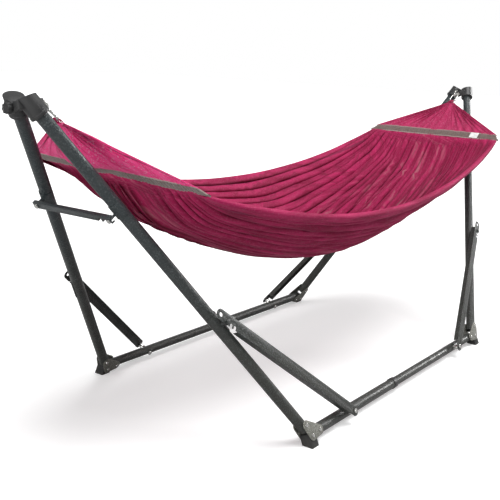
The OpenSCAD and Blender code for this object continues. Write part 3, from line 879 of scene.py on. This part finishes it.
def cord_loops(end):
    """Short loops of cord from the carabiner through the channel in the fan's head."""
    line = PULL[end]
    low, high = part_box("end_loops_" + end)
    centre = np.array((low + high) / 2)
    start = centre - line.down * 0.0085
    stop = line.eye + line.down * (np.dot(centre - line.eye, line.down) + 0.0125)
    made = []
    for k, shift in enumerate((-1.0, -0.5, 0.0, 0.5, 1.0)):
        far = stop + np.array([0, shift * CORD_FAR, 0])
        near = start + np.array([0, shift * CORD_NEAR, 0])
        ring = np.linspace(0, TWO_PI, 28, endpoint=False)
        middle, half = (near + far) / 2, (far - near) / 2
        path = [middle + half * math.cos(a) * LOOP_SLACK + line.out * LOOP_HALF * math.sin(a)
                + np.array([0, LOOP_TWIST * math.sin(2 * a), 0]) for a in ring]
        curve = bpy.data.curves.new("cord_loop", "CURVE")
        curve.dimensions = "3D"
        curve.bevel_depth, curve.bevel_resolution = CORD_RADIUS, 4
        spline = curve.splines.new("POLY")
        spline.points.add(len(path) - 1)
        for point, at in zip(spline.points, path):
            point.co = (*at, 1)
        spline.use_cyclic_u = True
        obj = put_in_scene("cord_loop_%s_%d" % (end, k + 1), curve)
        only(obj)
        bpy.ops.object.convert(target="MESH")
        made.append(bpy.context.object)
    bpy.ops.object.select_all(action="DESELECT")
    for obj in made:
        obj.select_set(True)
    bpy.context.view_layer.objects.active = made[0]
    bpy.ops.object.join()
    whole = bpy.context.object
    whole.name = "cord_loops_" + end
    bpy.ops.object.shade_smooth()
    return stand_for(whole, "end_loops_" + end, CORD_CLOTH)


for end in ENDS:
    cord_loops(end)

for end, (fan, flat) in fans.items():
    stand_for(fan, "end_panel_" + end, FAN_CLOTH[end])

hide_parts("hammock_bed")
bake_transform(bed)


# ---- Floor, light and camera ----

def floor():
    """Pale floor that throws back less light than it shows."""
    bpy.ops.object.select_all(action="DESELECT")
    bpy.ops.mesh.primitive_plane_add(size=60)
    obj = bpy.context.object
    obj.name = "floor"
    made, s, out = material("pale_floor", {"Roughness": 0.9, "Specular IOR Level": 0.1,
                                           "Emission Strength": 0.34})
    grain = s.noise(place_in(s), 3.0, 3.0)
    pale = s.mix(grain, (0.86, 0.86, 0.86, 1), (0.89, 0.89, 0.89, 1))
    seen = s.node("LightPath").outputs["Is Camera Ray"]
    s.join(s.mix(seen, (0.42, 0.42, 0.42, 1), pale), out["Base Color"])
    s.join(s.mix(seen, (0, 0, 0, 1), (1, 1, 1, 1)), out["Emission Color"])
    dress(obj, made)


def sun(name, towards, power, spread):
    """Broad soft light from one direction, even over the whole floor."""
    lamp = bpy.data.lights.new(name, "SUN")
    lamp.energy, lamp.angle = power, math.radians(spread)
    obj = put_in_scene(name, lamp)
    obj.rotation_euler = Vector(towards).to_track_quat("Z", "Y").to_euler()


def studio():
    """White surroundings, with less light on the object than the eye sees behind it."""
    bpy.context.scene.view_settings.view_transform = "Standard"
    world = bpy.data.worlds.new("studio")
    world.use_nodes = True
    s = Shader(world.node_tree)
    back = world.node_tree.nodes["Background"].inputs
    back["Color"].default_value = (1, 1, 1, 1)
    seen = s.node("LightPath").outputs["Is Camera Ray"]
    s.join(s.math("ADD", s.math("MULTIPLY", seen, 0.60), 0.40), back["Strength"])
    bpy.context.scene.world = world
    sun("key", (0.05, -0.25, 1.0), 2.6, 40)
    sun("side", (1.0, -0.35, 0.40), 1.3, 14)
    sun("fill", (-1.0, -0.05, 0.10), 2.1, 30)


CAMERA_AT = (-2.9217, -1.8179, 1.2440)
CAMERA_YAW, CAMERA_PITCH, CAMERA_ROLL = 35.842, -12.925, 2.382
LENS, SENSOR = 61.39, 36.0


def camera():
    """Camera out beyond the near left corner, looking across the stand and slightly down."""
    data = bpy.data.cameras.new("camera")
    data.lens, data.sensor_width = LENS, SENSOR
    data.clip_end = 200
    obj = put_in_scene("camera", data)
    yaw, pitch, roll = (math.radians(a) for a in (CAMERA_YAW, CAMERA_PITCH, CAMERA_ROLL))
    ahead = Vector((math.cos(yaw) * math.cos(pitch), math.sin(yaw) * math.cos(pitch),
                    math.sin(pitch)))
    right = ahead.cross(Vector((0, 0, 1))).normalized()
    up = right.cross(ahead)
    x = math.cos(roll) * right + math.sin(roll) * up
    y = math.cos(roll) * up - math.sin(roll) * right
    turn = Matrix((x, y, -ahead)).transposed().to_4x4()
    obj.matrix_world = Matrix.Translation(CAMERA_AT) @ turn
    bpy.context.scene.camera = obj


floor()
studio()
camera()
